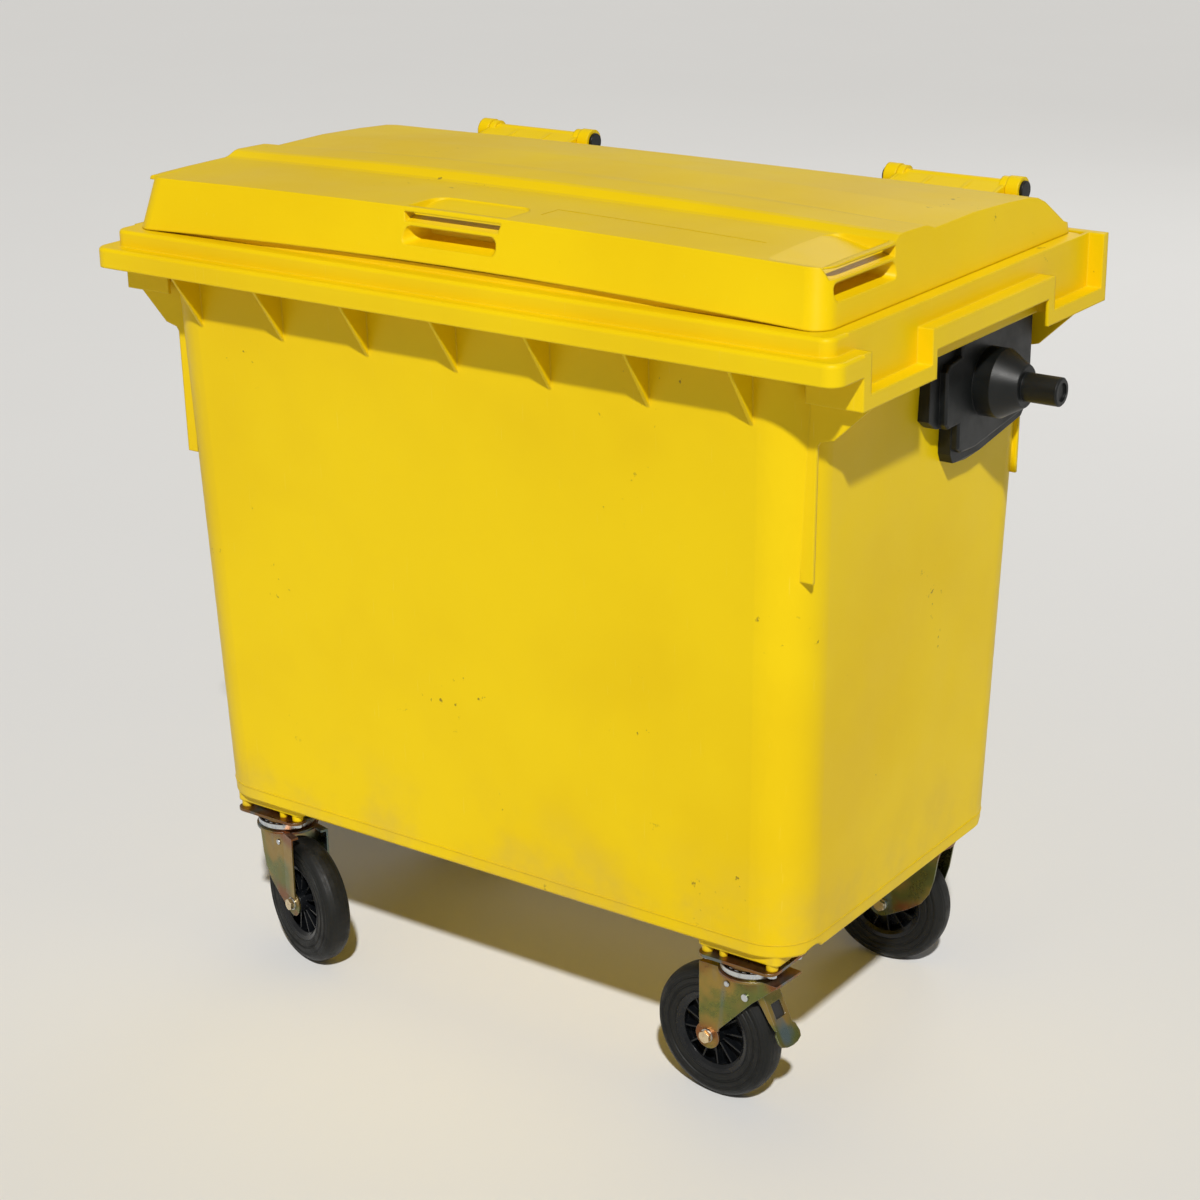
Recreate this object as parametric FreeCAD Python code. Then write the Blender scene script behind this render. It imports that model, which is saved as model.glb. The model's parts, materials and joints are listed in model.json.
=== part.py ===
"""Four-wheeled lidded waste bin, 660 litre class, as separate parts.

Millimetres. X runs along the long side (+X is the bin's right-hand end), Y from
front (-Y) to the hinges (+Y), Z up. The origin is on the ground at the centre of
the overall outline.
"""

import math
import os

import FreeCAD
import Part
from FreeCAD import Vector

os.makedirs("parts", exist_ok=True)

# ---------------------------------------------------------------- dimensions
# Rim of the tub
RIM_HALF = 622.0          # half length over the rim flange
RIM_FRONT = -387.0        # front face of the rim flange
RIM_REAR = 361.0          # rear face of the rim flange
RIM_CORNER = 22.0         # plan corner radius of the flange
LIP_BOTTOM = 1099.0
LIP_TOP = 1128.0
RIM_TOP = 1152.0
UPSTAND_TOP = 1162.0      # the body wall stands up above the rim, inside the lid
STEP_INSET = 23.0         # upper step stands this far inside the flange
STEP_CORNER = 18.0
SKIN = 5.0                # wall thickness of the tub

# Tapered body of the tub
BODY_BOTTOM = 262.0
BODY_HALF = 524.0         # half length at the bottom edge
BODY_FRONT = -309.0
BODY_REAR = 286.0
BODY_CORNER = 70.0
DRAFT = 0.0295            # outward lean of every wall, mm per mm of height
FLOOR_Z = 276.0           # underside of the floor, above the bottom skirt
FLOOR_THICK = 6.0

# Stepped side flange (hand trays), positions along Y
TRAY1_OUT = (-322.0, -136.0)    # front tray, outside of its strips
TRAY1_IN = (-304.0, -148.0)     # front tray, inside of its strips
TRAY2_OUT = (180.0, RIM_REAR)   # rear tray
TRAY2_IN = (197.0, 347.0)
TRAY_TOP = 1075.0
TRAY_BOTTOM = 1055.0
MID_TOP = 1122.0
MID_BOTTOM = 1093.0

# Fins and ribs
FIN_YS = (-299.0, 265.0)
FIN_HALF = 545.5          # half length over the four fins
FIN_BOTTOM = 812.0
RIB_XS = (-468.0, -312.0, -156.0, 0.0, 156.0, 312.0, 468.0)
RIB_TIP_Z = 1014.0
RIB_THICK = 5.0

# Lid
LID_HALF_BOTTOM = 578.0
LID_HALF_TOP = 566.0
LID_FRONT_BOTTOM = -345.0
LID_FRONT_TOP = -322.0
LID_REAR = 348.0
LID_BOTTOM = 1152.5
LID_SHOULDER = 1228.0     # height at which the "top" widths are measured
LID_CORNER = 30.0
LID_SKIN = 4.0
LID_FRONT_ARCH = 12.0     # the front edge of the lid bows up at mid length
# (y, height at the ends, extra height at mid length) along the lid's top
LID_PROFILE = (
    (-420.0, 1222.0, 8.0),
    (-323.0, 1224.5, 8.0),
    (-240.0, 1226.0, 7.0),
    (-159.0, 1226.3, 7.2),
    (-152.0, 1227.6, 7.6),
    (-139.0, 1233.2, 10.2),
    (-131.0, 1234.5, 10.8),
    (-75.0, 1233.0, 12.0),
    (-66.0, 1231.5, 12.5),
    (-48.0, 1225.5, 17.0),
    (60.0, 1227.0, 13.0),
    (150.0, 1223.5, 8.5),
    (217.0, 1219.0, 5.0),
    (243.0, 1215.0, 4.0),
    (264.0, 1206.0, 3.0),
    (280.0, 1195.0, 2.0),
    (314.0, 1171.0, 1.0),
    (336.0, 1164.5, 0.0),
    (420.0, 1162.0, 0.0),
)
HANDLE_HALF = 81.0        # half length of each lid handle
HANDLE_BAR = 9.0          # depth of the grip bar
HANDLE_SIDE_Y = -234.0    # centre of the side handles along Y
HANDLE_SIDE_DROP = 3.0    # the side handles sit this much lower
HANDLE_FRONT_X = -5.0     # centre of the front handle along X

# Lid hinges
HINGE_Y = 367.0
HINGE_Z = 1196.0
HINGE_X = 376.0           # centre of each hinge unit
LUG_OUTER = 109.0         # half width of a unit over its lugs
LUG_WIDTH = 20.0
LUG_RADIUS = 19.5
KNUCKLE_RADIUS = 13.0
RIDGE_RADIUS = 18.0
RIDGE_WIDTH = 11.0
PIN_RADIUS = 8.0
CAP_RADIUS = 14.0
CAP_OUT = 5.0

# Trunnions
TRUNNION_Y = 105.0
TRUNNION_Z = 989.5
TRUNNION_R = 20.0
TRUNNION_TIP = 683.0
CONE_BASE_R = 48.0
CONE_BASE_X = 598.0
CONE_TIP_R = 29.0
CONE_TIP_X = 631.0
BLOCK_X = 562.0           # outer face of the trunnion block's base
BLOCK_RAISED_X = 573.0
BLOCK_REAR = 250.0
BLOCK_TOP = 1086.0
TRUNNION_BOLTS = ((-19.0, 1034.0), (229.0, 1034.0), (50.0, 918.0), (160.0, 918.0))

# Casters
SWIVEL_X = 429.5
SWIVEL_Y = (-257.0, 237.0)
TRAIL = 56.0
WHEEL_R = 100.0
TYRE_HALF = 22.5
TYRE_BORE_R = 63.0
HUB_HALF = 25.6
HUB_R = 17.0
BUSH_R = 8.0
AXLE_R = 5.0
LEG_IN = 26.8
LEG_OUT = 29.8
LEG_BEND = 37.0
LEG_FRONT = 68.0
LEG_FLARE = 3.0
STRIP_BOTTOM = 111.5      # the flared strip ends above the axle washers
CROWN_BOTTOM = 211.5
CROWN_TOP = 215.0
PLATE_BOTTOM = 236.0
PLATE_TOP = 240.0
PLATE_HALF = (63.0, 50.0)
POSTS = ((-52.0, -33.0), (52.0, -33.0), (-52.0, 33.0), (52.0, 33.0))
POST_R = 8.5
PAD_BOTTOM = 250.0
KING_R = 8.0
RING_R = 45.0
BALL_R = 4.0
BALL_PITCH_R = 36.0
BALL_COUNT = 20
CASTERS = (
    ("front_left", -SWIVEL_X, SWIVEL_Y[0], -19.0),
    ("front_right", SWIVEL_X, SWIVEL_Y[0], 176.0),
    ("rear_left", -SWIVEL_X, SWIVEL_Y[1], 24.0),
    ("rear_right", SWIVEL_X, SWIVEL_Y[1], 183.5),
)

# Wheel brake on the front right caster, in the caster's own frame (u, z)
BRAKE_PIN = (-9.5, 182.0)
BRAKE_PIN_R = 3.5
RIVET = (22.0, 193.0)
BRAKE_TRAVEL = 8.0        # degrees from released to pressed
PRESS_SIGN = -1           # sense about the caster's own +Y that presses the shoe on
PEDAL_TOP = (-29.5, 188.0)
PEDAL_END = (-64.5, 118.0)
PEDAL_HALF = 18.5

# Drain
DRAIN_Y = -11.5
DRAIN_R = 30.0

RUN = 0.05                # radial clearance of a running fit
GAP = 0.1                 # clearance between fixed neighbours


# ------------------------------------------------------------------- helpers
def box(x0, x1, y0, y1, z0, z1):
    return Part.makeBox(x1 - x0, y1 - y0, z1 - z0, Vector(x0, y0, z0))


def cyl_x(r, x0, x1, y, z):
    return Part.makeCylinder(r, x1 - x0, Vector(x0, y, z), Vector(1, 0, 0))


def cyl_y(r, y0, y1, x, z):
    return Part.makeCylinder(r, y1 - y0, Vector(x, y0, z), Vector(0, 1, 0))


def cyl_z(r, z0, z1, x=0.0, y=0.0):
    return Part.makeCylinder(r, z1 - z0, Vector(x, y, z0), Vector(0, 0, 1))


def face_of(points):
    return Part.Face(Part.makePolygon(points + points[:1]))


def prism_x(yz, x0, x1):
    return face_of([Vector(x0, y, z) for y, z in yz]).extrude(Vector(x1 - x0, 0, 0))


def prism_y(xz, y0, y1):
    return face_of([Vector(x, y0, z) for x, z in xz]).extrude(Vector(0, y1 - y0, 0))


def prism_z(xy, z0, z1):
    return face_of([Vector(x, y, z0) for x, y in xy]).extrude(Vector(0, 0, z1 - z0))


def rounded_wire(x0, x1, y0, y1, r, z):
    """Rectangle with rounded corners in a horizontal plane."""
    c = r * (1.0 - math.sqrt(0.5))
    edges = [
        Part.makeLine(Vector(x0 + r, y0, z), Vector(x1 - r, y0, z)),
        Part.Arc(Vector(x1 - r, y0, z), Vector(x1 - c, y0 + c, z), Vector(x1, y0 + r, z)).toShape(),
        Part.makeLine(Vector(x1, y0 + r, z), Vector(x1, y1 - r, z)),
        Part.Arc(Vector(x1, y1 - r, z), Vector(x1 - c, y1 - c, z), Vector(x1 - r, y1, z)).toShape(),
        Part.makeLine(Vector(x1 - r, y1, z), Vector(x0 + r, y1, z)),
        Part.Arc(Vector(x0 + r, y1, z), Vector(x0 + c, y1 - c, z), Vector(x0, y1 - r, z)).toShape(),
        Part.makeLine(Vector(x0, y1 - r, z), Vector(x0, y0 + r, z)),
        Part.Arc(Vector(x0, y0 + r, z), Vector(x0 + c, y0 + c, z), Vector(x0 + r, y0, z)).toShape(),
    ]
    return Part.Wire(edges)


def rounded_block(x0, x1, y0, y1, r, z0, z1):
    return Part.Face(rounded_wire(x0, x1, y0, y1, r, z0)).extrude(Vector(0, 0, z1 - z0))


def fillet_where(shape, radius, test):
    """Round the edges whose centre of mass passes the test."""
    chosen = [edge for edge in shape.Edges if test(edge.CenterOfMass, edge)]
    return shape.makeFillet(radius, chosen)


def mirrored(shape):
    return shape.mirror(Vector(0, 0, 0), Vector(1, 0, 0))


def fuse(shapes):
    return shapes[0].multiFuse(shapes[1:])


def revolve_z(rz):
    face = face_of([Vector(r, 0, z) for r, z in rz])
    return face.revolve(Vector(0, 0, 0), Vector(0, 0, 1), 360)


def revolve_y(ry):
    """Solid of revolution about the Y axis from (radius, y) points."""
    face = face_of([Vector(r, y, 0) for r, y in ry])
    return face.revolve(Vector(0, 0, 0), Vector(0, 1, 0), 360)


def hex_prism_y(across, y0, y1):
    r = across / math.sqrt(3.0)
    corners = [(r * math.cos(math.radians(60 * i + 30)),
                r * math.sin(math.radians(60 * i + 30))) for i in range(6)]
    blank = prism_y(corners, y0, y1)
    return blank.common(revolve_y(((0, y0), (across / 2, y0), (r + 0.01, y0 + 1), (r + 0.01, y1 - 1),
                                   (across / 2, y1), (0, y1))))


def hex_prism_z(across, z0, z1):
    r = across / math.sqrt(3.0)
    corners = [(r * math.cos(math.radians(60 * i)), r * math.sin(math.radians(60 * i))) for i in range(6)]
    blank = prism_z(corners, z0, z1)
    return blank.common(revolve_z(((0, z0), (across / 2, z0), (r + 0.01, z0 + 1), (r + 0.01, z1 - 1),
                                   (across / 2, z1), (0, z1))))


def save(name, shape):
    shape.exportStep("parts/" + name + ".step")


# ----------------------------------------------------------------------- tub
def body_form(z0, z1, grow):
    """Tapered body between two heights, its faces moved outward by grow."""
    wires = []
    for z in (z0, z1):
        g = grow + DRAFT * (z - BODY_BOTTOM)
        wires.append(rounded_wire(-BODY_HALF - g, BODY_HALF + g, BODY_FRONT - g, BODY_REAR + g,
                                  BODY_CORNER + grow, z))
    return Part.makeLoft(wires, True, True)


def flange_ring():
    """Flange lip and upper step all round, open underneath."""
    lip = rounded_block(-RIM_HALF, RIM_HALF, RIM_FRONT, RIM_REAR, RIM_CORNER, LIP_BOTTOM, LIP_TOP)
    lip = fillet_where(lip, 5.5, lambda c, e: c.z > LIP_TOP - 0.01)
    lip = lip.cut(rounded_block(-RIM_HALF + SKIN, RIM_HALF - SKIN, RIM_FRONT + SKIN, RIM_REAR - SKIN,
                                RIM_CORNER - SKIN, LIP_BOTTOM - 1, LIP_TOP - SKIN))
    s = STEP_INSET
    step = rounded_block(-RIM_HALF + s, RIM_HALF - s, RIM_FRONT + s, RIM_REAR - s, STEP_CORNER, LIP_BOTTOM,
                         RIM_TOP)
    step = fillet_where(step, 5.5, lambda c, e: c.z > RIM_TOP - 0.01)
    # Side steps reach down to the trays, front and rear ones stop at the flange.
    step = step.cut(box(-RIM_HALF + s + SKIN, RIM_HALF - s - SKIN, RIM_FRONT, RIM_FRONT + s + SKIN,
                        LIP_BOTTOM - 1, LIP_TOP - SKIN))
    return lip.fuse(step)


def side_flange():
    """Stepped lip and its web along the right-hand side, trays included."""
    top = [
        (TRAY1_IN[0], LIP_TOP), (TRAY1_IN[0], TRAY_TOP), (TRAY1_IN[1], TRAY_TOP), (TRAY1_IN[1], MID_TOP),
        (TRAY2_IN[0], MID_TOP), (TRAY2_IN[0], TRAY_TOP), (TRAY2_IN[1], TRAY_TOP), (TRAY2_IN[1], RIM_TOP),
        (RIM_REAR, RIM_TOP),
    ]
    lower = [
        (RIM_REAR, TRAY_BOTTOM), (TRAY2_OUT[0], TRAY_BOTTOM), (TRAY2_OUT[0], MID_BOTTOM),
        (TRAY1_OUT[1], MID_BOTTOM), (TRAY1_OUT[1], TRAY_BOTTOM), (TRAY1_OUT[0], TRAY_BOTTOM),
        (TRAY1_OUT[0], LIP_TOP),
    ]
    lip = prism_x(top + lower, RIM_HALF - SKIN, RIM_HALF)
    t = SKIN
    under = [
        (RIM_REAR, TRAY_TOP - t), (TRAY2_IN[0] - t, TRAY_TOP - t), (TRAY2_IN[0] - t, MID_TOP - t),
        (TRAY1_IN[1] + t, MID_TOP - t), (TRAY1_IN[1] + t, TRAY_TOP - t), (TRAY1_IN[0] - t, TRAY_TOP - t),
        (TRAY1_IN[0] - t, LIP_TOP),
    ]
    web = prism_x(top + under, 540.0, RIM_HALF - 2.0)
    rear_lip = box(RIM_HALF - STEP_INSET, RIM_HALF, RIM_REAR - SKIN, RIM_REAR, TRAY_BOTTOM, RIM_TOP)
    rear_wall = box(540.0, RIM_HALF, RIM_REAR - SKIN, RIM_REAR, TRAY_BOTTOM, LIP_TOP)
    front_wall = box(540.0, RIM_HALF, TRAY1_OUT[0], TRAY1_OUT[0] + SKIN, TRAY_BOTTOM, LIP_TOP - 2)
    step_wall = box(RIM_HALF - STEP_INSET - SKIN, RIM_HALF - STEP_INSET, TRAY1_OUT[0], RIM_REAR,
                    TRAY_TOP - t, RIM_TOP)
    return fuse([lip, web, rear_lip, rear_wall, front_wall, step_wall])


def fins():
    """Upright fins with a slanted gusset under each end of the side trays."""
    wall_x = BODY_HALF
    outline = [
        (wall_x, FIN_BOTTOM), (FIN_HALF - 3, FIN_BOTTOM), (FIN_HALF, 995.0), (FIN_HALF + 4, 1001.0),
        (FIN_HALF + 24, 1006.0), (RIM_HALF - 1, TRAY_BOTTOM), (RIM_HALF - 1, TRAY_BOTTOM + 2),
        (RIM_HALF - SKIN, TRAY_TOP - 2), (wall_x, TRAY_TOP - 2),
    ]
    solids = []
    for y in FIN_YS:
        fin = prism_y(outline, y - RIB_THICK / 2, y + RIB_THICK / 2)
        solids.append(fin)
        solids.append(mirrored(fin))
    return solids


def rim_ribs():
    """Triangular ribs between the wall and the flange, front and rear."""
    front = [
        (RIM_FRONT + 2, LIP_BOTTOM), (RIM_FRONT + 2, LIP_TOP - 2), (BODY_FRONT - 10, LIP_TOP - 2),
        (BODY_FRONT - 20, RIB_TIP_Z),
    ]
    rear = [
        (RIM_REAR - 2, LIP_BOTTOM), (RIM_REAR - 2, LIP_TOP - 2), (BODY_REAR + 10, LIP_TOP - 2),
        (BODY_REAR + 20, RIB_TIP_Z),
    ]
    solids = []
    for x in RIB_XS:
        solids.append(prism_x(front, x - RIB_THICK / 2, x + RIB_THICK / 2))
        solids.append(prism_x(rear, x - RIB_THICK / 2, x + RIB_THICK / 2))
    return solids


def caster_pad(x, y):
    """Thickened pad under the floor with the posts that carry one caster plate."""
    solids = [rounded_block(x - 66, x + 66, y - 42, y + 42, 10.0, PAD_BOTTOM, FLOOR_Z + 1)]
    for px, py in POSTS:
        solids.append(cyl_z(POST_R, PLATE_TOP + GAP, PAD_BOTTOM + 1, x + px, y + py))
    inboard = -25.0 if x > 0 else 25.0
    solids.append(cyl_z(6.0, PLATE_TOP + GAP, PAD_BOTTOM + 1, x + inboard, y - 35.0))
    return solids


def hinge_lugs():
    """Two lugs per hinge unit, standing on the rear of the rim."""
    outline = [
        (HINGE_Y - 16, RIM_TOP - 3), (HINGE_Y - LUG_RADIUS, HINGE_Z), (HINGE_Y + LUG_RADIUS, HINGE_Z),
        (HINGE_Y + 12, RIM_TOP - 12), (RIM_REAR - 2, LIP_BOTTOM + 8), (RIM_REAR - 4, LIP_BOTTOM + 8),
        (RIM_REAR - 4, LIP_TOP - 2), (RIM_REAR - STEP_INSET - 2, LIP_TOP - 2),
        (RIM_REAR - STEP_INSET - 2, RIM_TOP - 3),
    ]
    solids = []
    for centre in (-HINGE_X, HINGE_X):
        for side in (-1, 1):
            x0 = centre + side * (LUG_OUTER - LUG_WIDTH / 2) - LUG_WIDTH / 2
            solids.append(prism_x(outline, x0, x0 + LUG_WIDTH))
            solids.append(cyl_x(LUG_RADIUS, x0, x0 + LUG_WIDTH, HINGE_Y, HINGE_Z))
    return solids


def collar():
    """Top of the body wall, a little thicker, from inside the flange to its upstand."""
    outside = body_form(LIP_TOP + 6, UPSTAND_TOP, 1.0)
    return outside.cut(body_form(LIP_TOP + 5, UPSTAND_TOP + 1, 0.4 - SKIN))


def tub():
    outer = body_form(BODY_BOTTOM + 3, LIP_TOP + 10, 0.0)
    rise = DRAFT * 3
    foot = Part.makeLoft([
        rounded_wire(-BODY_HALF + 2.5, BODY_HALF - 2.5, BODY_FRONT + 2.5, BODY_REAR - 2.5,
                     BODY_CORNER - 2.5, BODY_BOTTOM),
        rounded_wire(-BODY_HALF - rise, BODY_HALF + rise, BODY_FRONT - rise, BODY_REAR + rise, BODY_CORNER,
                     BODY_BOTTOM + 3),
    ], True, True)
    ring = flange_ring()
    # The plain flange gives way to the stepped one along both sides.
    side_gap = box(RIM_HALF - STEP_INSET, RIM_HALF + 1, TRAY1_IN[0], RIM_REAR + 1, LIP_BOTTOM - 1,
                   LIP_TOP + 1)
    ring = ring.cut(side_gap).cut(mirrored(side_gap))
    side = side_flange()
    # Hollow between the body wall and the step, open underneath.
    inset = STEP_INSET + SKIN
    hollow = rounded_block(-RIM_HALF + inset, RIM_HALF - inset, RIM_FRONT + inset, RIM_REAR - inset,
                           STEP_CORNER - SKIN, LIP_BOTTOM - 60, RIM_TOP - SKIN)
    ring = ring.cut(hollow)
    shell = fuse([outer, foot, ring, side, mirrored(side)])
    for group in (fins(), rim_ribs(), hinge_lugs()):
        shell = fuse([shell] + group)
    shell = shell.cut(body_form(FLOOR_Z + FLOOR_THICK, RIM_TOP + 5, -SKIN))
    # The trunnion blocks reach up behind the trays.
    room = box(530.0, BLOCK_RAISED_X + 0.3, TRAY2_IN[0] - SKIN - 1.0, BLOCK_REAR + 0.3,
               TRAY_TOP - SKIN - 1.0, BLOCK_TOP + 0.3)
    room = room.cut(body_form(BODY_BOTTOM + 400, LIP_TOP + 5, 0.0))
    shell = shell.cut(room).cut(mirrored(room))
    skirt_hollow = rounded_block(-BODY_HALF + SKIN + 1, BODY_HALF - SKIN - 1, BODY_FRONT + SKIN + 1,
                                 BODY_REAR - SKIN - 1, BODY_CORNER - SKIN - 1, BODY_BOTTOM - 1, FLOOR_Z)
    shell = shell.cut(skirt_hollow)
    pads = []
    for _, x, y, _ in CASTERS:
        pads += caster_pad(x, y)
    shell = fuse([shell] + pads)
    holes = [cyl_z(DRAIN_R, FLOOR_Z - 5, FLOOR_Z + FLOOR_THICK + 5, 0.0, DRAIN_Y)]
    for _, x, y, _ in CASTERS:
        for px, py in POSTS:
            holes.append(cyl_z(4.1, PLATE_TOP - 1, PLATE_TOP + 24, x + px, y + py))
        side_sign = 1 if x > 0 else -1
        holes.append(cyl_x(25.0, side_sign * 520 - 15, side_sign * 520 + 15, y + 9, 247.0))
        holes.append(cyl_z(17.0, PAD_BOTTOM - 1, PAD_BOTTOM + 3, x, y))
    for sign in (-1, 1):
        holes.append(cyl_x(PIN_RADIUS + 0.02, sign * HINGE_X - 140, sign * HINGE_X + 140, HINGE_Y, HINGE_Z))
        for by, bz in TRUNNION_BOLTS:
            holes.append(cyl_x(4.3, sign * 545 - 20, sign * 545 + 12, by, bz))
    return shell.cut(Part.makeCompound(holes)).fuse(collar())


# ----------------------------------------------------------------------- lid
def lid_form(shrink):
    """Lid envelope: drafted skirt cut off by the crowned top surface."""
    lean = (LID_HALF_BOTTOM - LID_HALF_TOP) / (LID_SHOULDER - LID_BOTTOM)
    lean_front = (LID_FRONT_TOP - LID_FRONT_BOTTOM) / (LID_SHOULDER - LID_BOTTOM)
    z0 = LID_BOTTOM - (2.0 if shrink else 0.0)
    z1 = 1262.0
    wires = []
    for z in (z0, z1):
        dx = lean * (z - LID_BOTTOM) + shrink
        dy = lean_front * (z - LID_BOTTOM) + shrink
        r = LID_CORNER - shrink
        wires.append(rounded_wire(-LID_HALF_BOTTOM + dx, LID_HALF_BOTTOM - dx, LID_FRONT_BOTTOM + dy,
                                  LID_REAR - shrink, r, z))
    skirt = Part.makeLoft(wires, True, True)
    sections = []
    steps = 12
    for i in range(steps + 1):
        x = -600.0 + 1200.0 * i / steps
        crown = max(0.0, 1.0 - (x / 560.0) ** 2)
        points = [Vector(x, y, z + crown * up - shrink) for y, z, up in LID_PROFILE]
        points = [Vector(x, -420.0, 1100.0)] + points + [Vector(x, 420.0, 1100.0)]
        sections.append(Part.makePolygon(points + points[:1]))
    top = Part.makeLoft(sections, True, True)
    return skirt.common(top)


def upright_wire(x0, x1, z0, z1, r, y):
    """Rectangle with rounded corners in a plane of constant Y."""
    wire = rounded_wire(x0, x1, z0, z1, r, 0.0)
    wire.rotate(Vector(0, 0, 0), Vector(1, 0, 0), 90.0)
    wire.translate(Vector(0, y, 0))
    return wire


def handle_cuts(grow, drop, reach):
    """Dish behind the grip bar with the slot under it, and the finger pocket below,
    for a handle on the front edge; reach is how far back the dish goes."""
    edge = LID_FRONT_TOP
    half = HANDLE_HALF + grow
    floor = prism_x([
        (edge - 60, 1201.0 - drop - grow), (edge + reach, 1232.5 - drop - grow), (edge + reach, 1262.0),
        (edge - 60, 1262.0),
    ], -130.0, 130.0)
    bowl = Part.makeLoft([
        rounded_wire(-half + 8, half - 8, edge - 40, edge + reach - 24 + grow, 16.0, 1195.0 - drop),
        rounded_wire(-half - 10, half + 10, edge - 40, edge + reach + 6 + grow, 30.0, 1262.0 - drop),
    ], True, True)
    dish = floor.common(bowl)
    bar = box(-130, 130, edge - 60, edge + HANDLE_BAR - grow, 1226.0 - drop, 1270.0)
    dish = dish.cut(bar)
    pocket = Part.makeLoft([
        upright_wire(-half - 6, half + 6, 1181.0 - drop - grow, 1209.3 - drop, 11.0, edge - 26),
        upright_wire(-half + 22, half - 22, 1193.0 - drop - grow, 1207.5 - drop + grow / 2, 6.0,
                     edge + 27 + grow),
    ], True, True)
    return dish, pocket


def to_side(shape, sign):
    """Turn a front handle cut to the lid's right (+1) or left (-1) edge."""
    moved = shape.copy()
    moved.translate(Vector(0, -LID_FRONT_TOP, 0))
    moved.rotate(Vector(0, 0, 0), Vector(0, 0, 1), 90.0 * sign)
    moved.translate(Vector(sign * LID_HALF_TOP, HANDLE_SIDE_Y, 0))
    return moved


def lid_handles(grow):
    """Handles at the front and the right; the left end has the lower pocket only."""
    side_dish, side_pocket = handle_cuts(grow, HANDLE_SIDE_DROP, 102.0)
    cuts = list(handle_cuts(grow, 0.0, 84.0))
    for cut in cuts:
        cut.translate(Vector(HANDLE_FRONT_X, 0, 0))
    cuts += [to_side(side_dish, 1), to_side(side_pocket, 1), to_side(side_pocket, -1)]
    return cuts


def lid_hinge_arms():
    """Knuckle tubes with ridges and the webs that join them to the lid."""
    solids = []
    inner = LUG_OUTER - LUG_WIDTH - 0.4
    web = [
        (HINGE_Y, HINGE_Z + KNUCKLE_RADIUS - 0.5), (HINGE_Y, HINGE_Z + KNUCKLE_RADIUS - 5), (332.0, 1164.0),
        (300.0, 1174.0), (290.0, 1187.0),
    ]
    rib = [
        (HINGE_Y, HINGE_Z + 12), (HINGE_Y + 2, HINGE_Z - 12), (344.0, 1161.0), (318.0, 1161.0),
        (285.0, 1190.0),
    ]
    for centre in (-HINGE_X, HINGE_X):
        solids.append(cyl_x(KNUCKLE_RADIUS, centre - inner, centre + inner, HINGE_Y, HINGE_Z))
        solids.append(prism_x(web, centre - inner, centre + inner))
        for offset in (-inner, -35.0, 29.0, inner - 6.0):
            solids.append(prism_x(rib, centre + offset, centre + offset + 6.0))
        for x0 in (centre - inner, centre + inner - RIDGE_WIDTH):
            solids.append(cyl_x(RIDGE_RADIUS, x0, x0 + RIDGE_WIDTH, HINGE_Y, HINGE_Z))
    return solids


def lid():
    outer = lid_form(0.0)
    for cut in lid_handles(0.0):
        outer = outer.cut(cut)
    cavity = lid_form(LID_SKIN)
    for cut in lid_handles(LID_SKIN):
        cavity = cavity.cut(cut)
    shell = outer.cut(cavity)
    # Raised border along the left end of the front panel.
    border = prism_y([(-566.5, 1220), (-565.5, 1224), (-562, 1226.3), (-555, 1226.8), (-540, 1224),
                      (-540, 1220)],
                     -316.0, -158.0)
    shell = shell.fuse(border.cut(cavity))
    # The front edge bows up towards mid length.
    span = 2 * 560.0
    radius = (span * span / 4 + LID_FRONT_ARCH ** 2) / (2 * LID_FRONT_ARCH)
    arch = cyl_y(radius, LID_FRONT_BOTTOM - 5, LID_FRONT_BOTTOM + 60, 0.0,
                 LID_BOTTOM + LID_FRONT_ARCH - radius)
    shell = shell.cut(arch.common(box(-560, 560, -400, -280, LID_BOTTOM - 10, LID_BOTTOM + 20)))
    shell = fuse([shell] + lid_hinge_arms())
    bores = []
    for centre in (-HINGE_X, HINGE_X):
        bores.append(cyl_x(PIN_RADIUS + RUN, centre - 130, centre + 130, HINGE_Y, HINGE_Z))
    return shell.cut(Part.makeCompound(bores))


def hinge_pin(centre):
    half = LUG_OUTER + 3.0
    return cyl_x(PIN_RADIUS, centre - half, centre + half, HINGE_Y, HINGE_Z)


def hinge_cap(centre, side):
    x_in = centre + side * (LUG_OUTER + GAP)
    x_out = x_in + side * CAP_OUT
    disc = cyl_x(CAP_RADIUS, min(x_in, x_out), max(x_in, x_out), HINGE_Y, HINGE_Z)
    disc = fillet_where(disc, 1.5, lambda c, e: abs(c.x - x_out) < 0.01 and e.Closed)
    socket_end = centre + side * (LUG_OUTER + 3.0 + GAP)
    socket = cyl_x(PIN_RADIUS + 0.02, min(x_in, socket_end) - 0.01, max(x_in, socket_end), HINGE_Y, HINGE_Z)
    return disc.cut(socket)


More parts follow.
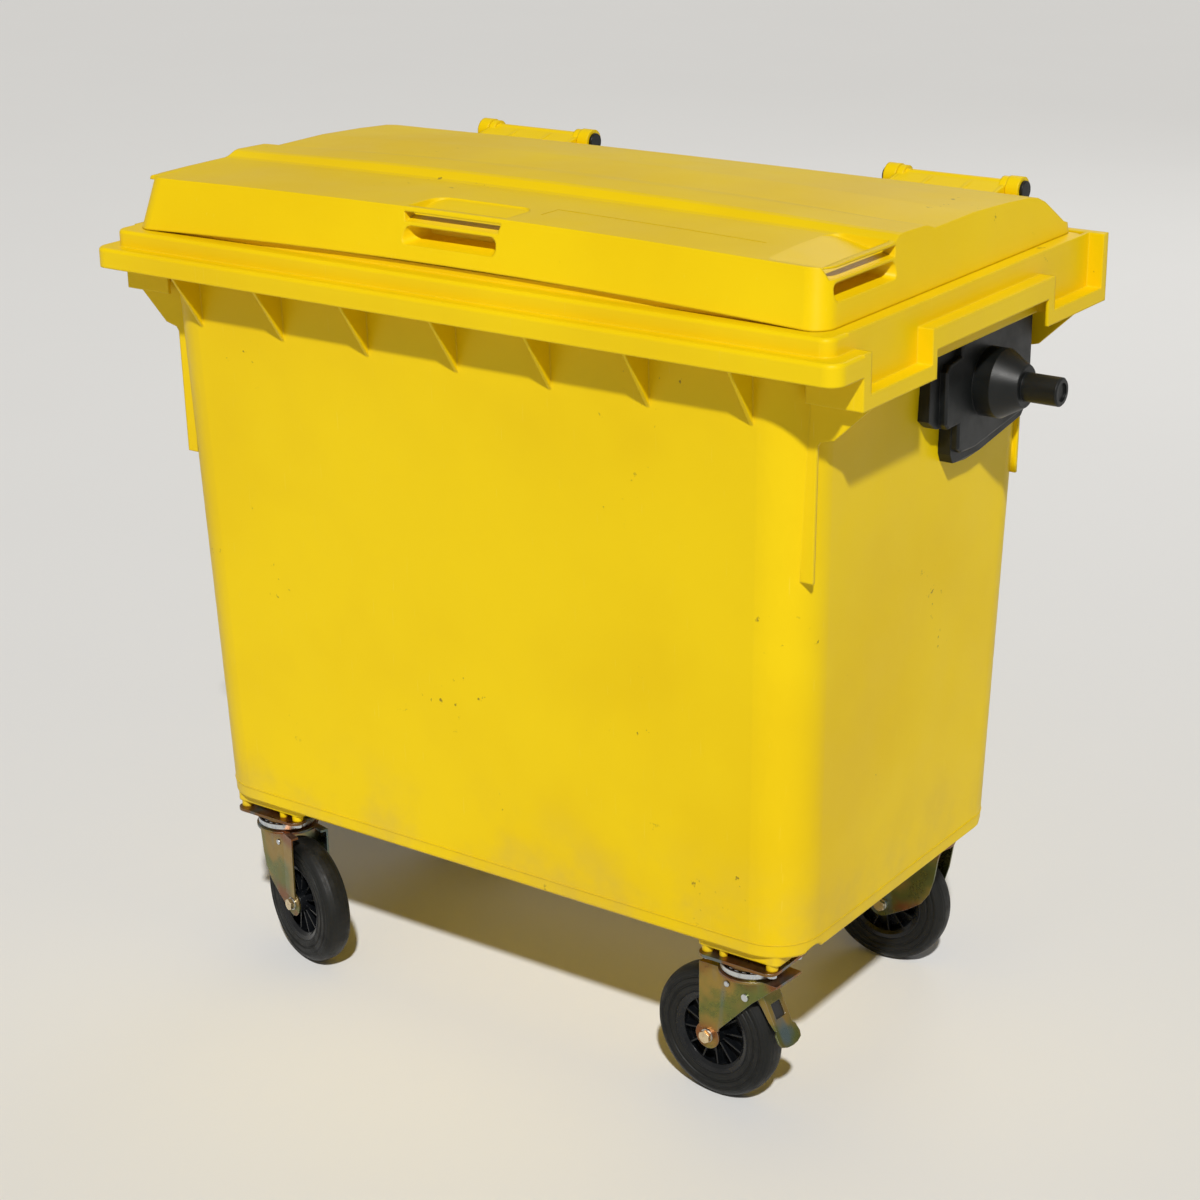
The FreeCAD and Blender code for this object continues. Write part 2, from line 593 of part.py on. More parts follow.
# ----------------------------------------------------------------- trunnions
def trunnion():
    """Right-hand lifting trunnion block with its cone and pin."""
    base = prism_x([
        (-41, 964), (-23, 951), (22, 941), (23, 903), (30, 890), (75, 884), (232, 908), (246, 922),
        (BLOCK_REAR, BLOCK_TOP), (4, BLOCK_TOP), (-8, 1070), (-26, 1066), (-38, 1050),
    ], 530.0, BLOCK_X)
    face = prism_x([
        (-13, 955), (-5, 947), (24, 947), (24, 912), (34, 905), (75, 903), (222, 922), (235, 935),
        (236, BLOCK_TOP), (30, BLOCK_TOP),
        (29, 1040), (-4, 1036), (-13, 1027),
    ], 530.0, BLOCK_RAISED_X)
    face = fillet_where(face, 4.0, lambda c, e: abs(c.x - BLOCK_RAISED_X) < 0.01)
    collar = cyl_x(CONE_BASE_R, BLOCK_RAISED_X - 1, CONE_BASE_X, TRUNNION_Y, TRUNNION_Z)
    cone = Part.makeCone(CONE_BASE_R, CONE_TIP_R, CONE_TIP_X - CONE_BASE_X,
                         Vector(CONE_BASE_X, TRUNNION_Y, TRUNNION_Z), Vector(1, 0, 0))
    cone = fillet_where(cone, 3.0, lambda c, e: abs(c.x - CONE_TIP_X) < 0.01 and e.Closed)
    pin = cyl_x(TRUNNION_R, CONE_TIP_X - 10, TRUNNION_TIP, TRUNNION_Y, TRUNNION_Z)
    tip_edges = [e for e in pin.Edges if e.Closed and abs(e.CenterOfMass.x - TRUNNION_TIP) < 0.01]
    pin = pin.makeChamfer(2.0, tip_edges)
    solid = fuse([base, face, collar, cone, pin])
    solid = solid.cut(cyl_x(13.0, TRUNNION_TIP - 3.0, TRUNNION_TIP + 1, TRUNNION_Y, TRUNNION_Z))
    # Bevel along the foot of the block, down to the tub's wall.
    bevel = [(549, 870), (BLOCK_RAISED_X + 1, 907), (BLOCK_RAISED_X + 1, 870)]
    solid = solid.cut(prism_y(bevel, 0.0, 300.0))
    solid = solid.cut(body_form(BODY_BOTTOM + 400, LIP_TOP + 5, GAP))
    for by, bz in TRUNNION_BOLTS:
        solid = solid.cut(cyl_x(4.02, 530, BLOCK_X - 3, by, bz))
    return solid


def trunnion_bolt(by, bz):
    """Flanged bolt, fitted from inside the tub."""
    wall_in = BODY_HALF + DRAFT * (bz - BODY_BOTTOM) - SKIN
    head_x = wall_in - 0.6
    flange = cyl_x(11.0, head_x - 2.0, head_x, by, bz)
    shank = cyl_x(4.0, head_x - 1.0, BLOCK_X - 4.0, by, bz)
    head = hex_prism_z(13.0, 0.0, 7.0)
    head.rotate(Vector(0, 0, 0), Vector(0, 1, 0), -90)
    head.translate(Vector(head_x - 1.0, by, bz))
    return fuse([flange, shank, head])


# ------------------------------------------------------------------- casters
# A caster is drawn with its swivel axis on Z and its wheel towards +X.
def placed(shape, x, y, angle):
    moved = shape.copy()
    moved.rotate(Vector(0, 0, 0), Vector(0, 0, 1), angle)
    moved.translate(Vector(x, y, 0))
    return moved


def caster_plate():
    """Top plate with its round raceway boss; drawn square to the bin."""
    plate = rounded_block(-PLATE_HALF[0], PLATE_HALF[0], -PLATE_HALF[1], PLATE_HALF[1], 16.0, PLATE_BOTTOM,
                          PLATE_TOP)
    boss = revolve_z(((KING_R, PLATE_TOP), (KING_R, 232.0), (26.0, 232.0), (29.0, 227.0), (41.0, 227.0),
                      (41.5, 236.5), (41.5, PLATE_TOP)))
    solid = plate.fuse(boss)
    holes = [cyl_z(KING_R + 0.02, 220, 250)]
    for px, py in POSTS:
        holes.append(cyl_z(4.3, 230, 250, px, py))
    return solid.cut(Part.makeCompound(holes))


def plate_screws():
    """Four hexagon screws that hold the plate to its posts."""
    solids = []
    for px, py in POSTS:
        head = hex_prism_z(13.0, PLATE_BOTTOM - 7.3, PLATE_BOTTOM - 1.8)
        washer = cyl_z(9.0, PLATE_BOTTOM - 1.8, PLATE_BOTTOM - GAP)
        shank = cyl_z(4.0, PLATE_BOTTOM - 3, PLATE_TOP + 22)
        screw = fuse([head, washer, shank])
        screw.translate(Vector(px, py, 0))
        solids.append(screw)
    return Part.makeCompound(solids)


def raceway_ring():
    """Zinc-plated raceway cup that turns with the fork."""
    return revolve_z(((12.0, CROWN_TOP + GAP), (RING_R - 3, CROWN_TOP + GAP), (RING_R, CROWN_TOP + 3.5),
                      (RING_R + 0.5, 226.0), (RING_R - 2.0, 226.0), (RING_R - 2.6, 218.6), (12.0, 218.4)))


def raceway_balls():
    solids = []
    for i in range(BALL_COUNT):
        a = 2 * math.pi * i / BALL_COUNT
        centre = Vector(BALL_PITCH_R * math.cos(a), BALL_PITCH_R * math.sin(a), 218.72 + BALL_R)
        solids.append(Part.makeSphere(BALL_R, centre))
    return Part.makeCompound(solids)


def king_pin():
    """Riveted centre pin of the swivel."""
    shank = cyl_z(KING_R, 205.0, 243.0)
    head = revolve_z(((0, PLATE_TOP + GAP), (14.0, PLATE_TOP + GAP), (14.0, 243.0), (10.0, 246.5),
                      (0, 247.5)))
    foot = revolve_z(((0, 204.0), (10.0, 204.6), (13.0, 207.0), (13.0, CROWN_BOTTOM - 0.3),
                      (0, CROWN_BOTTOM - 0.3)))
    return fuse([shank, head, foot])


def fork_leg(with_brake):
    """One pressed leg on the +Y side: cheek, slightly flared front strip and axle eye."""
    if with_brake:
        rear = [(-62, CROWN_TOP), (-60, 211), (-20, 175.5), (39, 113)]
    else:
        rear = [(-42, CROWN_TOP), (-37, 198), (-31, 160), (-24, 136), (-11, 117), (12, 101), (44, 84)]
    cheek = prism_y(rear + [(TRAIL, WHEEL_R), (LEG_BEND, 125), (LEG_BEND, CROWN_TOP)], LEG_IN, LEG_OUT)
    eye = cyl_y(20.0, LEG_IN, LEG_OUT, TRAIL, WHEEL_R)
    strip = prism_z([
        (LEG_BEND - 0.5, LEG_IN), (LEG_FRONT, LEG_IN + LEG_FLARE), (LEG_FRONT, LEG_OUT + LEG_FLARE),
        (LEG_BEND - 0.5, LEG_OUT),
    ], STRIP_BOTTOM, CROWN_TOP)
    return fuse([cheek, eye, strip])


def fork(with_brake):
    flare = LEG_OUT + LEG_FLARE
    crown = prism_z([
        (-62 if with_brake else -42, -LEG_OUT), (LEG_BEND, -LEG_OUT), (LEG_FRONT, -flare),
        (LEG_FRONT, flare),
        (LEG_BEND, LEG_OUT), (-62 if with_brake else -42, LEG_OUT),
    ], CROWN_BOTTOM, CROWN_TOP)
    crown = crown.fuse(cyl_z(48.0, CROWN_BOTTOM, CROWN_TOP))
    crown = crown.cut(box(45, 90, -20, 20, 200, 230).cut(cyl_z(52, 190, 240)))
    leg = fork_leg(with_brake)
    other = leg.mirror(Vector(0, 0, 0), Vector(0, 1, 0))
    rivets = []
    for side in (-1, 1):
        y0 = side * (LEG_OUT - 1.0)
        y1 = side * (LEG_OUT + 1.6)
        rivets.append(cyl_y(4.0, min(y0, y1), max(y0, y1), RIVET[0], RIVET[1]))
    solid = fuse([crown, leg, other] + rivets)
    holes = [cyl_z(KING_R + RUN, 200, 230), cyl_y(AXLE_R + 0.02, -60, 60, TRAIL, WHEEL_R)]
    if with_brake:
        holes.append(cyl_y(BRAKE_PIN_R + 0.02, -60, 60, BRAKE_PIN[0], BRAKE_PIN[1]))
    return solid.cut(Part.makeCompound(holes))


def axle_bolt(near):
    """Hexagon axle bolt; near is the side (+1 or -1) its head is on."""
    head = hex_prism_y(17.0, LEG_OUT + 2.1, LEG_OUT + 8.6)
    shank = cyl_y(AXLE_R, -LEG_OUT - 13.0, LEG_OUT + 3.0, 0.0, 0.0)
    bolt = head.fuse(shank)
    if near < 0:
        bolt = bolt.mirror(Vector(0, 0, 0), Vector(0, 1, 0))
    bolt.translate(Vector(TRAIL, 0, WHEEL_R))
    return bolt


def axle_nut(near):
    """Lock nut and the two washers of the axle."""
    ring = cyl_y(10.0, LEG_OUT + GAP, LEG_OUT + 2.0, 0, 0)
    ring = ring.cut(cyl_y(AXLE_R + 0.1, LEG_OUT - 1, LEG_OUT + 4, 0, 0))
    far_ring = ring.mirror(Vector(0, 0, 0), Vector(0, 1, 0))
    nut = hex_prism_y(17.0, -LEG_OUT - 11.0, -LEG_OUT - 2.1).cut(cyl_y(AXLE_R + 0.02, -60, -30, 0, 0))
    group = Part.makeCompound([ring, far_ring, nut])
    if near < 0:
        group = group.mirror(Vector(0, 0, 0), Vector(0, 1, 0))
    group.translate(Vector(TRAIL, 0, WHEEL_R))
    return group


def axle_bush():
    bush = cyl_y(BUSH_R, -LEG_IN + GAP, LEG_IN - GAP, 0, 0).cut(cyl_y(AXLE_R + 0.1, -40, 40, 0, 0))
    bush.translate(Vector(TRAIL, 0, WHEEL_R))
    return bush


def wheel_rim():
    """Moulded wheel centre: hub, thin web with ribs both sides, outer band."""
    hub = revolve_y(((BUSH_R + RUN, -HUB_HALF), (HUB_R - 2, -HUB_HALF), (HUB_R, -HUB_HALF + 2),
                     (HUB_R + 2, -4), (HUB_R + 2, 4),
                     (HUB_R, HUB_HALF - 2), (HUB_R - 2, HUB_HALF), (BUSH_R + RUN, HUB_HALF)))
    web = revolve_y(((HUB_R - 2, -2.5), (57, -2.5), (57, 2.5), (HUB_R - 2, 2.5)))
    band = revolve_y(((51, -15.5), (56, -19.5), (61.5, -21.6), (62.9, -20.5), (62.9, 20.5), (61.5, 21.6),
                      (56, 19.5),
                      (51, 15.5), (54, 6), (54, -6)))
    ribs = []
    for i in range(12):
        rib = prism_y([(HUB_R - 2, -1.25), (56.5, -1.25), (56.5, 1.25), (HUB_R - 2, 1.25)], -14.5, 14.5)
        rib.rotate(Vector(0, 0, 0), Vector(0, 1, 0), 30.0 * i + 8.0)
        ribs.append(rib)
    rim = fuse([hub, web, band] + ribs)
    rim = rim.cut(cyl_y(BUSH_R + RUN, -60, 60, 0, 0))
    rim.translate(Vector(TRAIL, 0, WHEEL_R))
    return rim


def tyre():
    """Solid tyre with a rounded tread and two grooves on each sidewall."""
    half = [
        (TYRE_BORE_R, 0.0), (TYRE_BORE_R, 0.92), (66.0, 0.955), (71.5, 0.99), (73.0, 0.92), (75.0, 0.92),
        (76.5, 0.995),
        (82.0, 1.0), (83.5, 0.93), (85.5, 0.92), (87.0, 0.965), (90.0, 0.92), (94.5, 0.79), (97.8, 0.59),
        (99.4, 0.33),
    ]
    points = [(r, y * TYRE_HALF) for r, y in half] + [(WHEEL_R, 0.0)]
    points += [(r, -y * TYRE_HALF) for r, y in reversed(half[1:])]
    solid = revolve_y(tuple(points))
    solid.translate(Vector(TRAIL, 0, WHEEL_R))
    return solid


# --------------------------------------------------------------------- brake
def brake_pedal():
    """Pressed pedal with a window, side cheeks and a flared foot kicked outward."""
    du = PEDAL_END[0] - PEDAL_TOP[0]
    dz = PEDAL_END[1] - PEDAL_TOP[1]
    length = math.hypot(du, dz)
    half = PEDAL_HALF
    knee = 56.0
    face = prism_z([(0, -half), (knee, -half), (knee, half), (0, half)], -1.25, 1.25)
    face = face.cut(rounded_block(18, 41, -10.5, 10.5, 2.0, -5, 5))
    foot = prism_z([
        (-1, -half), (3, -half - 4.5), (15, -half - 6), (length - knee, -half - 3), (length - knee + 4, -11),
        (length - knee + 5, 0), (length - knee + 4, 11), (length - knee, half + 3), (15, half + 6),
        (3, half + 4.5), (-1, half),
    ], -1.25, 1.25)
    foot.rotate(Vector(0, 0, 0), Vector(0, 1, 0), 8.0)
    foot.translate(Vector(knee, 0, 0))
    flange_points = [(-12, -1.25), (knee, -1.25), (knee - 2, 2.5), (40, 6.5), (4, 11), (-1, 16), (-12, 20),
                     (-16, 8)]
    left = prism_y(flange_points, half - 2.5, half)
    right = prism_y(flange_points, -half, -half + 2.5)
    pedal = fuse([face, foot, left, right])
    pedal.rotate(Vector(0, 0, 0), Vector(0, 1, 0), math.degrees(math.atan2(-dz, du)))
    pedal.translate(Vector(PEDAL_TOP[0], 0, PEDAL_TOP[1]))
    eyes = []
    for side in (-1, 1):
        y0 = side * half
        y1 = side * (half - 2.5)
        eyes.append(cyl_y(7.5, min(y0, y1), max(y0, y1), BRAKE_PIN[0], BRAKE_PIN[1]))
    pedal = fuse([pedal] + eyes)
    return pedal.cut(cyl_y(BRAKE_PIN_R + RUN, -60, 60, BRAKE_PIN[0], BRAKE_PIN[1]))


def brake_shoe():
    """Brake block under the pedal, shaped to meet the tread when pressed."""
    du = PEDAL_END[0] - PEDAL_TOP[0]
    dz = PEDAL_END[1] - PEDAL_TOP[1]
    block = prism_y([(8.0, 1.3 + GAP), (44.0, 1.3 + GAP), (46.0, 30.0), (4.0, 30.0)], -14.0, 14.0)
    block.rotate(Vector(0, 0, 0), Vector(0, 1, 0), math.degrees(math.atan2(-dz, du)))
    block.translate(Vector(PEDAL_TOP[0], 0, PEDAL_TOP[1]))
    pin = Vector(BRAKE_PIN[0], 0, BRAKE_PIN[1])
    axis = Vector(0, 1, 0)
    block.rotate(pin, axis, BRAKE_TRAVEL * PRESS_SIGN)
    block = block.cut(cyl_y(WHEEL_R + 0.4, -60, 60, TRAIL, WHEEL_R))
    block.rotate(pin, axis, -BRAKE_TRAVEL * PRESS_SIGN)
    return block


def brake_pin():
    """Rivet through both fork legs; the pedal turns on it."""
    reach = LEG_OUT + 2.0
    shank = cyl_y(BRAKE_PIN_R, -reach, reach, BRAKE_PIN[0], BRAKE_PIN[1])
    heads = [cyl_y(5.5, side * (LEG_OUT + 1.15) - 1.05, side * (LEG_OUT + 1.15) + 1.05, BRAKE_PIN[0],
                   BRAKE_PIN[1])
             for side in (-1, 1)]
    return fuse([shank] + heads)


def brake_spacers():
    """Tubes on the brake pin that keep the pedal in the middle of the fork."""
    tube = cyl_y(BRAKE_PIN_R + 2.5, PEDAL_HALF + 0.3, LEG_IN - GAP, BRAKE_PIN[0], BRAKE_PIN[1])
    tube = tube.cut(cyl_y(BRAKE_PIN_R + 0.1, 0, 60, BRAKE_PIN[0], BRAKE_PIN[1]))
    return Part.makeCompound([tube, tube.mirror(Vector(0, 0, 0), Vector(0, 1, 0))])


# --------------------------------------------------------------------- drain
def drain_plug():
    """Screw plug in the floor, with a grip bar on its underside."""
    body = cyl_z(DRAIN_R - 0.3, FLOOR_Z - 4.0, FLOOR_Z + FLOOR_THICK + 1.0)
    flange = cyl_z(DRAIN_R + 9.0, FLOOR_Z - 8.0, FLOOR_Z - 3.2)
    grip = box(-26, 26, -3.5, 3.5, FLOOR_Z - 18.0, FLOOR_Z - 7.0)
    grip_mid = FLOOR_Z - 12.5
    grip = fillet_where(grip, 3.0, lambda c, e: abs(abs(c.x) - 26) < 0.01 and abs(c.z - grip_mid) < 0.01)
    plug = fuse([body, flange, grip]).cut(cyl_z(DRAIN_R - 4.0, FLOOR_Z - 2.0, FLOOR_Z + FLOOR_THICK + 2))
    plug.translate(Vector(0, DRAIN_Y, 0))
    return plug


def drain_seal():
    """Flat ring between the plug's flange and the floor."""
    ring = cyl_z(DRAIN_R + 7.0, FLOOR_Z - 3.1, FLOOR_Z - GAP)
    ring = ring.cut(cyl_z(DRAIN_R + 0.3, FLOOR_Z - 6, FLOOR_Z + 1))
    ring.translate(Vector(0, DRAIN_Y, 0))
    return ring


for name, x, y, angle in CASTERS:
    near = 1 if math.cos(math.radians(angle)) < 0 else -1
    prefix = "caster_" + name + "_"
    plate = caster_plate()
    plate.translate(Vector(x, y, 0))
    save(prefix + "plate", plate)
    screws = plate_screws()
    screws.translate(Vector(x, y, 0))
    save(prefix + "screws", screws)
    save(prefix + "king_pin", placed(king_pin(), x, y, 0.0))
    save(prefix + "ring", placed(raceway_ring(), x, y, angle))
    save(prefix + "balls", placed(raceway_balls(), x, y, angle))
    save(prefix + "fork", placed(fork(name == "front_right"), x, y, angle))
    save(prefix + "axle", placed(axle_bolt(near), x, y, angle))
    save(prefix + "nut", placed(axle_nut(near), x, y, angle))
    save(prefix + "bush", placed(axle_bush(), x, y, angle))
    save(prefix + "rim", placed(wheel_rim(), x, y, angle))
    save(prefix + "tyre", placed(tyre(), x, y, angle))

save("tub", tub())
save("lid", lid())
save("trunnion_right", trunnion())
save("trunnion_left", mirrored(trunnion()))
bolts = Part.makeCompound([trunnion_bolt(by, bz) for by, bz in TRUNNION_BOLTS])
save("trunnion_bolts_right", bolts)
save("trunnion_bolts_left", mirrored(bolts))
save("hinge_pin_right", hinge_pin(HINGE_X))
save("hinge_pin_left", hinge_pin(-HINGE_X))
save("hinge_caps", Part.makeCompound([hinge_cap(c, s) for c in (-HINGE_X, HINGE_X) for s in (-1, 1)]))
brake_parts = {
    "brake_pedal": brake_pedal(),
    "brake_shoe": brake_shoe(),
    "brake_pin": brake_pin(),
    "brake_spacers": brake_spacers(),
}
for part_name, part_shape in brake_parts.items():
    save(part_name, placed(part_shape, *CASTERS[1][1:]))
save("drain_plug", drain_plug())
save("drain_seal", drain_seal())
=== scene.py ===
"""Looks of the four-wheeled waste bin: materials, moulded details, studio and camera.

Everything is in metres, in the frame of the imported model.
"""
import json
import math

import bmesh
import bpy
from mathutils import Matrix, Vector


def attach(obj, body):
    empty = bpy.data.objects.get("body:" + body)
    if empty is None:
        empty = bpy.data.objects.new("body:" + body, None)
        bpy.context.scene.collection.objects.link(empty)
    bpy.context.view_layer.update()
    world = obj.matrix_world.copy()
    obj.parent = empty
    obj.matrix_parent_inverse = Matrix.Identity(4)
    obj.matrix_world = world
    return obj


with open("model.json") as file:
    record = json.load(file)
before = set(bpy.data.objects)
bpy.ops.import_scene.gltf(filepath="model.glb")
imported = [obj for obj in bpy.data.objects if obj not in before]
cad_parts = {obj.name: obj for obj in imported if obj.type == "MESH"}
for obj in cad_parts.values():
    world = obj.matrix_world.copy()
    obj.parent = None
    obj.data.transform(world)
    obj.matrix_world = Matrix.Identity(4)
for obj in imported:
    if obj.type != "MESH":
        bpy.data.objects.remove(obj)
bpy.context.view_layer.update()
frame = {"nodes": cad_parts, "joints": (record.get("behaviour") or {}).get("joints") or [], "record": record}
NODES = frame["nodes"]
SLOT_OF = {part["node"]: part["material_slot"] for part in frame["record"]["subparts"]}
JOINTS = {joint["name"]: joint for joint in frame["joints"]}

# Colours are linear.
YELLOW = (0.87, 0.62, 0.002)
YELLOW_DEEP = (0.80, 0.545, 0.0015)
# Pale yellow of rubbed scratches, also used as a painted highlight along edges.
YELLOW_RUBBED_AND_HIGHLIGHT = (0.92, 0.72, 0.10)
SCUFF = (0.12, 0.075, 0.02)
ROAD_DUST = (0.30, 0.25, 0.17)
BLACK = (0.0035, 0.0045, 0.0045)
# This and the rim colour two lines down are lighter black for dust and rubbed wear, and also paint a
# highlight along edges.
BLACK_RUBBED_AND_HIGHLIGHT = (0.011, 0.0125, 0.0125)
RIM_BLACK = (0.004, 0.0048, 0.006)
RIM_RUBBED_AND_HIGHLIGHT = (0.012, 0.0125, 0.014)
DARK_GREY = (0.035, 0.036, 0.037)
SEAL_BLACK = (0.015, 0.015, 0.015)
SHOE_BLACK = (0.02, 0.02, 0.02)
TYRE_BLACK = (0.0045, 0.005, 0.0045)
TYRE_GREY = (0.014, 0.014, 0.0125)
GOLD = (0.34, 0.235, 0.065)
OLIVE = (0.145, 0.175, 0.052)
RED_BROWN = (0.23, 0.075, 0.032)
STAIN = (0.07, 0.045, 0.025)
STEEL_BLUE = (0.13, 0.19, 0.22)
WARM_ZINC = (0.74, 0.62, 0.42)
ZINC = (0.60, 0.64, 0.69)
ZINC_DULL = (0.30, 0.31, 0.32)
BALL_STEEL = (0.72, 0.73, 0.75)
FLOOR_WHITE = (0.80, 0.80, 0.795)
FLOOR_SHADE = (0.75, 0.75, 0.75)


class Maker:
    """Short names for building the nodes of one material."""

    def __init__(self, name):
        self.material = bpy.data.materials.new(name)
        self.material.use_nodes = True
        self.tree = self.material.node_tree
        self.shader = self.tree.nodes["Principled BSDF"]
        self.where = self.node("ShaderNodeTexCoord").outputs["Object"]

    def node(self, kind, **settings):
        made = self.tree.nodes.new(kind)
        for key, value in settings.items():
            setattr(made, key, value)
        return made

    def put(self, socket, value):
        if isinstance(value, bpy.types.NodeSocket):
            self.tree.links.new(value, socket)
        elif isinstance(value, tuple) and len(value) == 3 and socket.type == "RGBA":
            socket.default_value = (*value, 1.0)
        else:
            socket.default_value = value

    def shade(self, **inputs):
        """Sets the shader's inputs; an underscore stands for a space."""
        for key, value in inputs.items():
            self.put(self.shader.inputs[key.replace("_", " ")], value)

    def math(self, operation, a, b=0.0, clamp=False):
        made = self.node("ShaderNodeMath", operation=operation, use_clamp=clamp)
        self.put(made.inputs[0], a)
        self.put(made.inputs[1], b)
        return made.outputs[0]

    def vector(self, operation, a, b=None, output="Vector"):
        made = self.node("ShaderNodeVectorMath", operation=operation)
        self.put(made.inputs[0], a)
        if b is not None:
            self.put(made.inputs[1], b)
        return made.outputs[output]

    def stretched(self, scale, turn=(0.0, 0.0, 0.0), shift=(0.0, 0.0, 0.0), source=None):
        made = self.node("ShaderNodeMapping")
        self.put(made.inputs["Vector"], source or self.where)
        self.put(made.inputs["Scale"], scale)
        self.put(made.inputs["Rotation"], turn)
        self.put(made.inputs["Location"], shift)
        return made.outputs[0]

    def noise(self, scale, detail=3.0, roughness=0.5, source=None):
        made = self.node("ShaderNodeTexNoise")
        self.put(made.inputs["Vector"], source or self.where)
        self.put(made.inputs["Scale"], scale)
        self.put(made.inputs["Detail"], detail)
        self.put(made.inputs["Roughness"], roughness)
        return made.outputs["Fac"]

    def between(self, value, low, high, start=0.0, end=1.0, smooth=True):
        """value from low to high, mapped to start to end and held there outside."""
        made = self.node("ShaderNodeMapRange", interpolation_type="SMOOTHSTEP" if smooth else "LINEAR")
        self.put(made.inputs["Value"], value)
        self.put(made.inputs["From Min"], low)
        self.put(made.inputs["From Max"], high)
        self.put(made.inputs["To Min"], start)
        self.put(made.inputs["To Max"], end)
        return made.outputs["Result"]

    def mix(self, factor, a, b):
        made = self.node("ShaderNodeMix", data_type="RGBA")
        self.put(made.inputs["Factor"], factor)
        self.put(made.inputs[6], a)
        self.put(made.inputs[7], b)
        return made.outputs[2]

    def split(self, source=None):
        made = self.node("ShaderNodeSeparateXYZ")
        self.put(made.inputs[0], source or self.where)
        return made.outputs

    def rounded(self, radius):
        """Normal of the surface as if its edges had this radius, and how near an edge is, 0 to 1."""
        soft = self.node("ShaderNodeBevel", samples=6)
        soft.inputs["Radius"].default_value = radius
        true = self.node("ShaderNodeNewGeometry").outputs["Normal"]
        dot = self.vector("DOT_PRODUCT", soft.outputs[0], true, "Value")
        return soft.outputs[0], self.between(dot, 0.985, 0.75)

    def bump(self, height, distance, strength=1.0, normal=None):
        made = self.node("ShaderNodeBump")
        self.put(made.inputs["Height"], height)
        self.put(made.inputs["Distance"], distance)
        self.put(made.inputs["Strength"], strength)
        if normal is not None:
            self.put(made.inputs["Normal"], normal)
        return made.outputs[0]


def scuffs(m, size, spread, cover):
    """Mask of small rubbed marks, in patches spread metres apart; size is marks per metre."""
    marks = m.between(m.noise(size, 5.0, 0.62), 0.64, 0.70)
    patches = m.between(m.noise(1.0 / spread, 2.0), 1.0 - cover, 1.04 - cover)
    return m.math("MULTIPLY", marks, patches)


def scratches(m, turn, threshold):
    """Mask of fine straight scratches along the turned Z direction."""
    lines = m.noise(1.0, 2.0, 0.5, m.stretched((420.0, 420.0, 9.0), turn))
    return m.between(lines, threshold, threshold + 0.03)


def yellow_plastic():
    """Injection moulded polyethylene that has been outdoors for some years."""
    m = Maker("yellow_plastic")
    normal, edge = m.rounded(0.0036)
    z = m.split()[2]
    colour = m.mix(m.between(m.noise(1.7, 4.0, 0.55), 0.35, 0.68), YELLOW, YELLOW_DEEP)
    cloud = m.between(m.noise(14.0, 5.0, 0.6), 0.45, 0.75)
    colour = m.mix(m.math("MULTIPLY", cloud, 0.10), colour, YELLOW_DEEP)
    # Edges are lightened: partly rubbed wear, partly a painted highlight.
    colour = m.mix(m.math("MULTIPLY", edge, 0.16), colour, YELLOW_RUBBED_AND_HIGHLIGHT)
    rub = m.math("MAXIMUM", scratches(m, (0.5, 0.2, 0.0), 0.735), scratches(m, (1.45, 0.0, 0.8), 0.735))
    colour = m.mix(m.math("MULTIPLY", rub, 0.30), colour, YELLOW_RUBBED_AND_HIGHLIGHT)
    foot = m.between(z, 0.44, 0.25)
    foot = m.math("MULTIPLY", foot, m.between(m.noise(7.0, 5.0, 0.6), 0.40, 0.72))
    colour = m.mix(m.math("MULTIPLY", foot, 0.22), colour, ROAD_DUST)
    dark = scuffs(m, 75.0, 0.13, 0.36)
    colour = m.mix(m.math("MULTIPLY", dark, 0.75), colour, SCUFF)
    grain = m.noise(1100.0, 2.0, 0.5)
    wave = m.noise(6.0, 2.0, 0.4)
    normal = m.bump(wave, 0.006, 0.35, normal)
    normal = m.bump(grain, 0.00025, 0.35, normal)
    rough = m.between(m.noise(5.0, 4.0, 0.6), 0.3, 0.7, 0.36, 0.46)
    rough = m.math("ADD", rough, m.math("MULTIPLY", rub, 0.12))
    m.shade(Base_Color=colour, Roughness=rough, Normal=normal, IOR=1.5)
    m.shader.inputs["Specular IOR Level"].default_value = 0.15
    return m.material


def dark_plastic(name, base, rubbed_and_highlight, rough_low, rough_high, grain_size):
    """Black polyamide or polypropylene with dust, and with edges lightened partly as rubbed wear and partly
    as a painted highlight.
    """
    m = Maker(name)
    normal, edge = m.rounded(0.0012)
    dust = m.between(m.noise(26.0, 5.0, 0.62), 0.46, 0.74)
    colour = m.mix(m.math("MULTIPLY", dust, 0.35), base, rubbed_and_highlight)
    # Edges are lightened: partly rubbed wear, partly a painted highlight.
    colour = m.mix(m.math("MULTIPLY", edge, 0.45), colour, rubbed_and_highlight)
    normal = m.bump(m.noise(grain_size, 3.0, 0.55), 0.0003, 0.4, normal)
    rough = m.between(m.noise(18.0, 4.0, 0.6), 0.3, 0.7, rough_low, rough_high)
    m.shade(Base_Color=colour, Roughness=rough, Normal=normal)
    m.shader.inputs["Specular IOR Level"].default_value = 0.35
    return m.material


def from_axle(m, wheel):
    """Distance from the wheel's axis, for the joint that the wheel rolls on."""
    centre = Vector(wheel["pos_m"])
    axis = Vector(wheel["axis"])
    turn = axis.to_track_quat("Z", "Y").to_matrix().inverted()
    shift = -(turn @ centre)
    local = m.stretched((1.0, 1.0, 1.0), tuple(turn.to_euler()), tuple(shift))
    x, y = m.split(local)[:2]
    return m.math("SQRT", m.math("ADD", m.math("MULTIPLY", x, x), m.math("MULTIPLY", y, y)))


